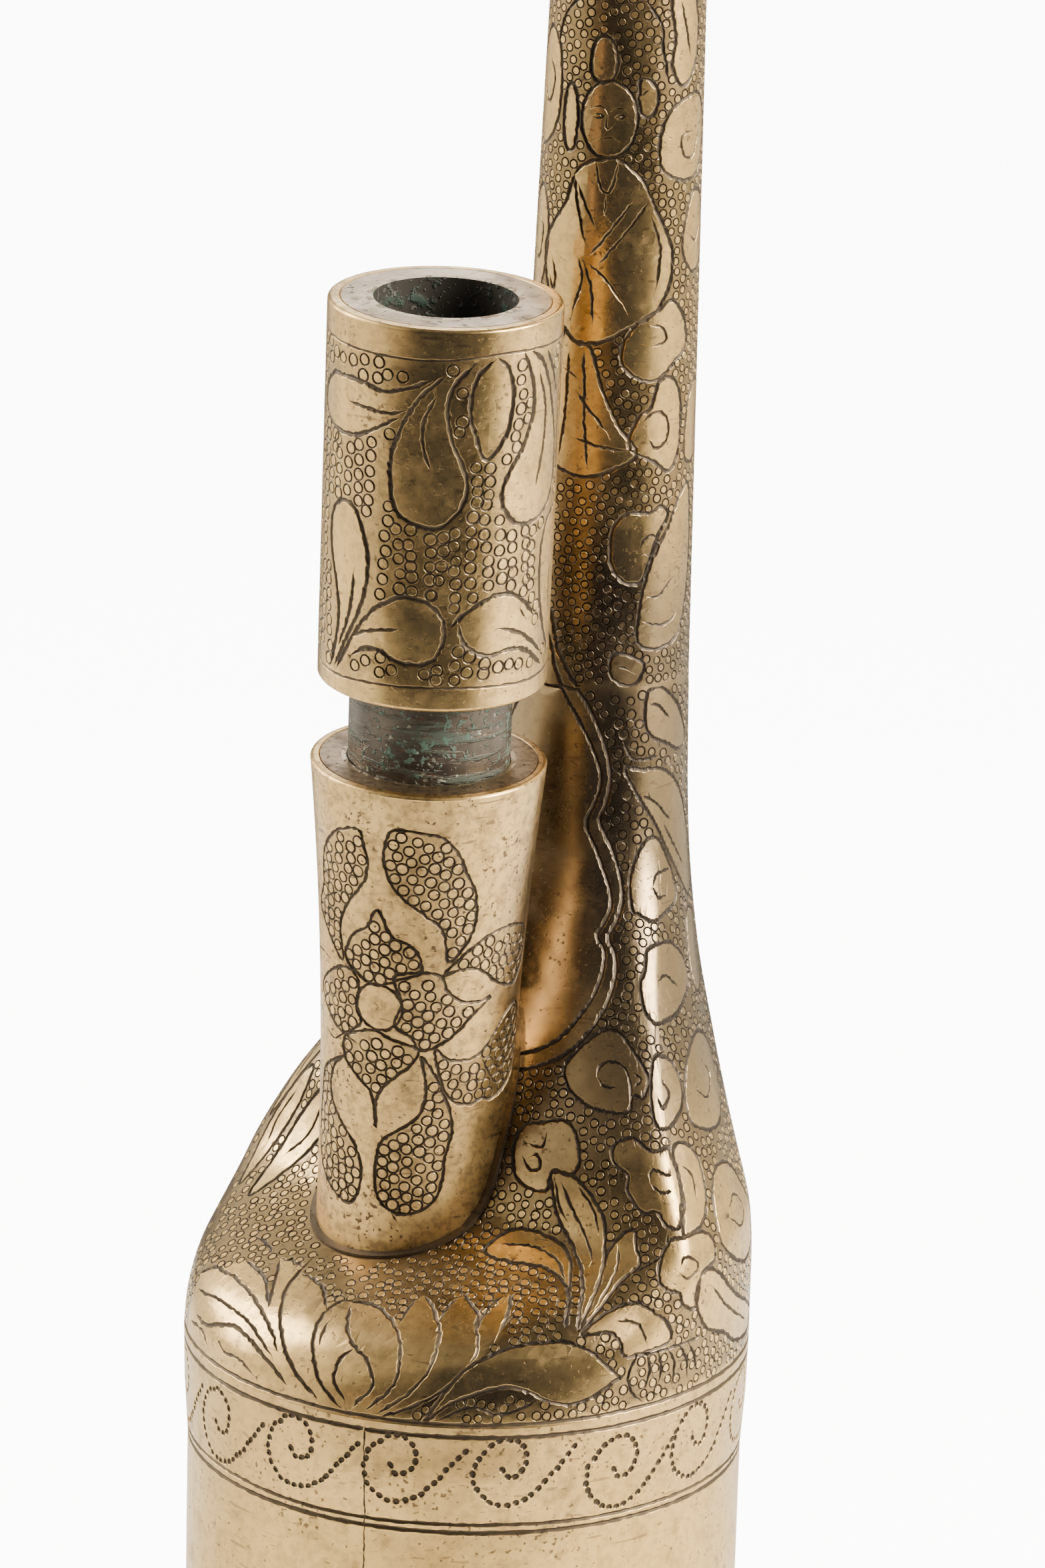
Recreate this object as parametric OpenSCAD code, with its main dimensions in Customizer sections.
// Engraved brass water pipe: reservoir, off-centre neck, leaning socket and removable bowl on a copper stem.
// The origin is the centre of the base on the surface the pipe stands on, +Z is up,
// the socket is at the front (-Y) and the neck stands at the back (+Y).

/* [Body] */
// Outside diameter of the reservoir where the shoulder is joined on
body_d = 70; // [64:0.5:90]
// Height of the reservoir tube from the base to the shoulder joint
body_h = 95; // [75:1:130]
// How much the tube's radius narrows below the engraved band
body_narrowing = 0.6; // [0:0.1:1.5]
// Height over which the tube narrows, measured down from the shoulder joint
band_h = 14; // [8:0.5:24]
// Thickness of the reservoir's sheet
body_wall = 1.2; // [0.8:0.1:2]
// Width of the brazed seam that closes the rolled tube
seam_w = 0.9; // [0.4:0.1:2]
// Direction of the seam, turned from the front towards the right
seam_turn = 17; // [-60:1:60]

/* [Base] */
// Thickness of the base plate
base_t = 1.5; // [1:0.1:3]
// Height of the base plate's underside above the table
base_recess = 1.5; // [0.5:0.1:4]
// Height of the wire ring round the foot
foot_ring_h = 4; // [2:0.5:8]
// How far the foot ring stands out from the tube
foot_ring_out = 1.0; // [0.5:0.1:2]

/* [Shoulder and neck] */
// Height of the shoulder from the body joint to the neck joint
shoulder_h = 80; // [70:1:100]
// Thickness of the shoulder's sheet
shoulder_wall = 1.2; // [0.8:0.1:2]
// Outside diameter of the neck at its joint with the shoulder
neck_root_d = 22; // [18:0.5:28]
// Outside diameter of the neck at its top
neck_top_d = 15.4; // [13:0.2:20]
// Length of the neck tube above the shoulder joint
neck_h = 170; // [110:1:220]
// Thickness of the neck's wall
neck_wall = 1.2; // [0.8:0.1:2]
// How far the neck's back stands inside the body's back
neck_back_inset = 0.9; // [0.5:0.1:6]
// Height of the mouth ring
mouth_h = 6; // [4:0.5:12]
// How far the mouth ring's bead stands out from the neck
mouth_out = 0.7; // [0.3:0.1:1]
// Bore of the mouth ring
mouth_bore_d = 11; // [8:0.5:12]

/* [Socket] */
// Height of the socket's rim above the body joint
socket_rise = 75; // [62:1:95]
// Distance of the rim's centre in front of the body's axis
socket_forward = 10; // [8:0.5:13]
// Lean of the socket towards the front, in degrees
socket_lean_front = 3.3; // [0:0.1:5]
// Lean of the socket towards the right, in degrees
socket_lean_side = 3.7; // [-4:0.1:5]
// Outside diameter of the socket at its rim
socket_rim_d = 28.4; // [26.5:0.2:36]
// Thickness of the socket's wall round the liner at its straight foot
socket_foot_wall = 1.25; // [0.8:0.05:2]
// Length over which the socket flares, measured down from the rim
socket_flare = 50; // [30:1:55]
// Thickness of the flared sleeve's wall at the rim
socket_wall = 1.2; // [0.8:0.1:2]
// Thickness of the ring that closes the socket's top
collar_t = 2; // [1:0.1:4]
// Thickness of the straight tube that guides the stem
liner_wall = 0.6; // [0.4:0.1:1]
// Size of the solder fillet round the socket's foot
fillet = 0.8; // [0.5:0.1:1.5]

/* [Bowl and stem] */
// Outside diameter of the copper stem
stem_d = 19.6; // [16:0.1:22]
// Thickness of the stem's wall
stem_wall = 1; // [0.6:0.1:1.5]
// Length of stem that shows between the socket and the bowl
stem_shown = 10.4; // [4:0.2:20]
// Height of the stem's lower end above the table
stem_clear = 35.5; // [15:0.5:60]
// Length of stem inside the bowl
stem_in_bowl = 12; // [8:0.5:16]
// Length of the bowl
bowl_len = 46.4; // [38:0.2:60]
// Outside diameter of the bowl at its top
bowl_top_d = 27.6; // [26:0.2:34]
// Outside diameter of the bowl at its bottom
bowl_foot_d = 27.3; // [26:0.1:34]
// Thickness of the bowl's engraved outer wall
bowl_wall = 1.4; // [1:0.1:2]
// Bore of the bowl
bowl_bore_d = 17; // [14:0.2:20.4]
// Thickness of the bowl's inner tube
bowl_liner_wall = 0.8; // [0.5:0.1:1.2]
// Thickness of the rings that close the bowl's two ends
bowl_ring_t = 3; // [2:0.1:4]
// Rounding of the bowl's and the socket's outer rims
rim_round = 0.5; // [0.2:0.1:0.8]
// Space between the stem's end and the draught plate
plate_gap = 4.4; // [1:0.2:8]
// Thickness of the draught plate
plate_t = 1; // [0.6:0.1:2]
// Diameter of each hole in the draught plate
draught_d = 2.4; // [1:0.1:3]

/* [Fits] */
// Clearance all round the stem in the socket and the bowl
stem_gap = 0.05; // [0.02:0.01:0.08]

/* [Hidden] */
$fn = 96;

body_r = body_d / 2;
body_low_r = body_r - body_narrowing;
neck_root_r = neck_root_d / 2;
neck_top_r = neck_top_d / 2;
// The neck leans by its own taper, so that its back stands upright
neck_lean = atan((neck_root_r - neck_top_r) / neck_h);
neck_y = body_r - neck_back_inset - neck_root_r;
neck_z = body_h + shoulder_h;
stem_r = stem_d / 2;
guide_r = stem_r + stem_gap;
liner_r = guide_r + liner_wall;
socket_rim_r = socket_rim_d / 2;
socket_foot_r = liner_r + socket_foot_wall;
upright = cos(socket_lean_front) * cos(socket_lean_side);
// The socket tube ends just inside the shoulder, below the lowest point of the hole it stands in
socket_end = shoulder_h * 0.11;
socket_len = (socket_rise - socket_end) / upright;
stem_reach = (body_h + socket_rise - stem_clear) / upright;
bowl_top_r = bowl_top_d / 2;
bowl_foot_r = bowl_foot_d / 2;
bowl_bore_r = bowl_bore_d / 2;
bowl_liner_r = bowl_bore_r + bowl_liner_wall;
bowl_depth = bowl_len - stem_in_bowl - plate_gap - plate_t;
cut = 1;

// Stations up the shoulder: share of its height, then how far its front, its sides and its widest line
// have gone from the round of the body (0) to the round of the neck (1)
stations = [
    [0.00, 0.00, 0.00, 0.00],
    [0.05, 0.02, 0.00, 0.00],
    [0.10, 0.09, 0.00, 0.00],
    [0.14, 0.23, 0.00, 0.00],
    [0.18, 0.40, 0.01, 0.00],
    [0.22, 0.53, 0.04, 0.01],
    [0.28, 0.60, 0.14, 0.04],
    [0.35, 0.64, 0.27, 0.11],
    [0.45, 0.72, 0.47, 0.30],
    [0.58, 0.84, 0.72, 0.59],
    [0.75, 0.95, 0.91, 0.85],
    [1.00, 1.00, 1.00, 1.00]
];
shoulder_rows = 32;
shoulder_sides = 48;

// Slope of a station's column, from its two neighbours
function slope(i, c) =
    let (a = stations[max(i - 1, 0)], b = stations[min(i + 1, len(stations) - 1)])
    (b[c] - a[c]) / (b[0] - a[0]);

// Index of the last station at or below a share of the height
function span_of(t, i = 0) =
    i >= len(stations) - 2 || t < stations[i + 1][0] ? i : span_of(t, i + 1);

// Smooth curve through the stations: the share that a column has reached at a share of the height
function reached(t, c) =
    let (i = span_of(t), a = stations[i], b = stations[i + 1], w = b[0] - a[0], u = (t - a[0]) / w)
    (1 + 2 * u) * (1 - u) * (1 - u) * a[c] + u * (1 - u) * (1 - u) * w * slope(i, c)
    + u * u * (3 - 2 * u) * b[c] - u * u * (1 - u) * w * slope(i + 1, c);

function mix(a, b, k) = a + (b - a) * k;

// One ring of the shoulder: its front half and its back half are two half ellipses
function ring(t, grow) =
    let (front = mix(-body_r, neck_y - neck_root_r, reached(t, 1)) - grow,
         side = mix(body_r, neck_root_r, reached(t, 2)) + grow,
         middle = mix(0, neck_y, reached(t, 3)),
         back = mix(body_r, neck_y + neck_root_r, t) + grow)
    [for (i = [0 : shoulder_sides - 1])
        let (a = 360 * i / shoulder_sides, depth = sin(a) > 0 ? back - middle : middle - front)
        [side * cos(a), middle + depth * sin(a), body_h + shoulder_h * t]];

// Points where the inside of the dome starts, a wall's thickness below the outside of its flat front
function inner_height(t) = t - shoulder_wall / shoulder_h * sin(180 * min(t / 0.5, 1));

function inner_ring(t) = [for (p = ring(t, -shoulder_wall)) [p[0], p[1], body_h + shoulder_h * inner_height(t)]];

function band_faces(first, second, flip) =
    [for (i = [0 : shoulder_sides - 1])
        let (j = (i + 1) % shoulder_sides)
        flip ? [second + i, second + j, first + j, first + i] : [first + i, first + j, second + j, second + i]];

// The shoulder as a closed sheet: outside rings from the bottom up, then inside rings from the top down
module shoulder_sheet() {
    outside = [for (k = [0 : shoulder_rows]) ring(k / shoulder_rows, 0)];
    inside = [for (k = [shoulder_rows : -1 : 0]) inner_ring(k / shoulder_rows)];
    rings = concat(outside, inside);
    points = [for (r = rings) each r];
    count = len(rings);
    faces = [for (k = [0 : count - 1])
        each band_faces(k * shoulder_sides, ((k + 1) % count) * shoulder_sides, true)];
    polyhedron(points, faces, convexity = 10);
}

// The shoulder's outer form as a solid, grown outwards
module shoulder_form(grow) {
    rings = [for (k = [0 : shoulder_rows]) ring(k / shoulder_rows, grow)];
    points = [for (r = rings) each r];
    last = shoulder_rows * shoulder_sides;
    bottom = [[for (i = [0 : shoulder_sides - 1]) i]];
    top = [[for (i = [shoulder_sides - 1 : -1 : 0]) last + i]];
    walls = [for (k = [0 : shoulder_rows - 1])
        each band_faces(k * shoulder_sides, (k + 1) * shoulder_sides, true)];
    polyhedron(points, concat(bottom, top, walls), convexity = 10);
}

// Everything on the socket's axis is drawn upright with the rim at zero and leant into place
module on_socket() {
    translate([0, -socket_forward, body_h + socket_rise])
        rotate([socket_lean_front, socket_lean_side, 0])
            children();
}

// Outside radius of the socket at a depth below its rim
function socket_r(depth) =
    socket_foot_r + (socket_rim_r - socket_foot_r) * pow(1 - min(depth / socket_flare, 1), 2);

flare_steps = 14;

module socket_outline() {
    rotate_extrude()
        polygon(concat(
            [[0, -socket_len], [socket_foot_r, -socket_len]],
            [for (i = [0 : flare_steps - 1])
                let (d = socket_flare - (socket_flare - rim_round) * i / (flare_steps - 1))
                [socket_r(d), -d]],
            [[socket_rim_r - rim_round, 0], [0, 0]]));
}

module tube(outer, inner, low, high) {
    translate([0, 0, low])
        difference() {
            cylinder(r = outer, h = high - low);
            translate([0, 0, -cut]) cylinder(r = inner, h = high - low + 2 * cut);
        }
}

module base_plate() {
    color("peru")
        translate([0, 0, base_recess]) cylinder(r = body_low_r - body_wall, h = base_t);
}

// A half-round wire, flat on the table and against the tube
module foot_ring() {
    color("goldenrod")
        rotate_extrude()
            difference() {
                translate([body_low_r, foot_ring_h / 2]) scale([2 * foot_ring_out / foot_ring_h, 1])
                    circle(d = foot_ring_h, $fn = 32);
                translate([0, -cut]) square([body_low_r, foot_ring_h + 2 * cut]);
            }
}

module body_round(inset) {
    rotate_extrude()
        polygon([[0, 0], [body_low_r - inset, 0], [body_low_r - inset, body_h - band_h],
                 [body_r - inset - body_narrowing * 0.25, body_h - band_h / 2],
                 [body_r - inset, body_h], [0, body_h]]);
}

module seam_cut(past = 0) {
    rotate([0, 0, seam_turn - 90])
        translate([body_r / 2, -seam_w / 2, -past]) cube([body_r, seam_w, body_h + 2 * past]);
}

module body_wall_solid() {
    difference() {
        body_round(0);
        translate([0, 0, -cut]) cylinder(r = body_low_r - body_wall, h = body_h + 2 * cut);
    }
}

module body_tube() {
    color("burlywood")
        difference() {
            body_wall_solid();
            seam_cut(cut);
        }
}

module body_seam() {
    color("sienna")
        intersection() {
            body_wall_solid();
            seam_cut();
        }
}

module shoulder() {
    color("tan")
        difference() {
            shoulder_sheet();
            on_socket() socket_outline();
        }
}

module on_neck() {
    translate([0, neck_y, neck_z]) rotate([-neck_lean, 0, 0]) children();
}

module neck_tube() {
    taper = (neck_root_r - neck_top_r) / neck_h;
    color("tan")
        difference() {
            on_neck()
                difference() {
                    translate([0, 0, -cut])
                        cylinder(r1 = neck_root_r + taper * cut, r2 = neck_top_r, h = neck_h + cut);
                    translate([0, 0, -2 * cut])
                        cylinder(r1 = neck_root_r + 2 * taper * cut - neck_wall,
                                 r2 = neck_top_r - taper * cut - neck_wall, h = neck_h + 3 * cut);
                }
            translate([-body_r, 0, neck_z - 4 * cut]) cube([body_d, body_d, 4 * cut]);
        }
}

// A bead with a rounded lip, standing on the end of the neck
module mouth_ring() {
    bead_r = neck_top_r + mouth_out;
    color("goldenrod")
        on_neck() translate([0, 0, neck_h])
            rotate_extrude()
                polygon(concat(
                    [[mouth_bore_d / 2, 0], [neck_top_r, 0]],
                    [for (a = [-80 : 20 : 80])
                        [neck_top_r + mouth_out * cos(a), mouth_h * 0.3 * (1 + sin(a))]],
                    [for (a = [0 : 15 : 90])
                        [neck_top_r - mouth_out + mouth_out * cos(a), mouth_h - mouth_out + mouth_out * sin(a)]],
                    [[mouth_bore_d / 2, mouth_h]]));
}

module socket_sleeve() {
    color("burlywood")
        on_socket()
            difference() {
                socket_outline();
                // Straight at the foot, where the liner is soldered in, and flared above it
                translate([0, 0, -socket_len - cut]) cylinder(r = liner_r, h = socket_len + 2 * cut);
                rotate_extrude()
                    polygon(concat(
                        [[0, -socket_flare]],
                        [for (i = [0 : flare_steps - 1])
                            let (d = socket_flare * (1 - i / (flare_steps - 1)))
                            [mix(liner_r, socket_rim_r - socket_wall, pow(1 - d / socket_flare, 2)), -d]],
                        [[socket_rim_r - socket_wall, cut], [0, cut]]));
            }
}

module socket_collar() {
    inner_low = mix(liner_r, socket_rim_r - socket_wall, pow(1 - collar_t / socket_flare, 2));
    color("peru")
        on_socket()
            difference() {
                translate([0, 0, -collar_t]) cylinder(r1 = inner_low, r2 = socket_rim_r - socket_wall, h = collar_t);
                translate([0, 0, -collar_t - cut]) cylinder(r = liner_r, h = collar_t + 2 * cut);
            }
}

module socket_liner() {
    color("sienna") on_socket() tube(liner_r, guide_r, -socket_len, 0);
}

// Solder run round the socket where it leaves the shoulder
module socket_solder() {
    color("gray")
        difference() {
            intersection() {
                shoulder_form(fillet);
                on_socket() translate([0, 0, -socket_len]) cylinder(r = socket_foot_r + fillet, h = socket_len / 2);
            }
            shoulder_form(0);
            on_socket() socket_outline();
        }
}

module stem_tube() {
    color("darkslategray")
        on_socket() tube(stem_r, stem_r - stem_wall, -stem_reach, stem_shown + stem_in_bowl);
}

// Everything in the bowl is drawn with the bowl's underside at zero
module on_bowl() {
    on_socket() translate([0, 0, stem_shown]) children();
}

module bowl_sleeve() {
    color("burlywood")
        on_bowl()
            difference() {
                rotate_extrude()
                    polygon([[0, 0], [bowl_foot_r - rim_round, 0], [bowl_foot_r, rim_round],
                             [bowl_top_r, bowl_len - rim_round], [bowl_top_r - rim_round, bowl_len],
                             [0, bowl_len]]);
                translate([0, 0, -cut]) cylinder(r = bowl_foot_r - bowl_wall, h = bowl_len + 2 * cut);
            }
}

module bowl_top_ring() {
    color("peru") on_bowl() tube(bowl_foot_r - bowl_wall, bowl_liner_r, bowl_len - bowl_ring_t, bowl_len);
}

module bowl_bottom_ring() {
    color("peru") on_bowl() tube(bowl_foot_r - bowl_wall, guide_r, 0, bowl_ring_t);
}

module bowl_liner() {
    color("sienna")
        on_bowl() tube(bowl_liner_r, bowl_bore_r, bowl_len - bowl_depth, bowl_len);
}

// The plate is soldered to the lower end of the bowl's liner
module draught_plate() {
    ring_holes = 6;
    color("dimgray")
        on_bowl() translate([0, 0, bowl_len - bowl_depth - plate_t])
            difference() {
                cylinder(r = bowl_liner_r, h = plate_t);
                translate([0, 0, -cut]) cylinder(d = draught_d, h = plate_t + 2 * cut);
                for (i = [0 : ring_holes - 1])
                    rotate([0, 0, 360 * i / ring_holes]) translate([bowl_bore_r * 0.6, 0, -cut])
                        cylinder(d = draught_d, h = plate_t + 2 * cut);
            }
}

base_plate();
foot_ring();
body_tube();
body_seam();
shoulder();
neck_tube();
mouth_ring();
socket_sleeve();
socket_collar();
socket_liner();
socket_solder();
stem_tube();
bowl_sleeve();
bowl_top_ring();
bowl_bottom_ring();
bowl_liner();
draught_plate();
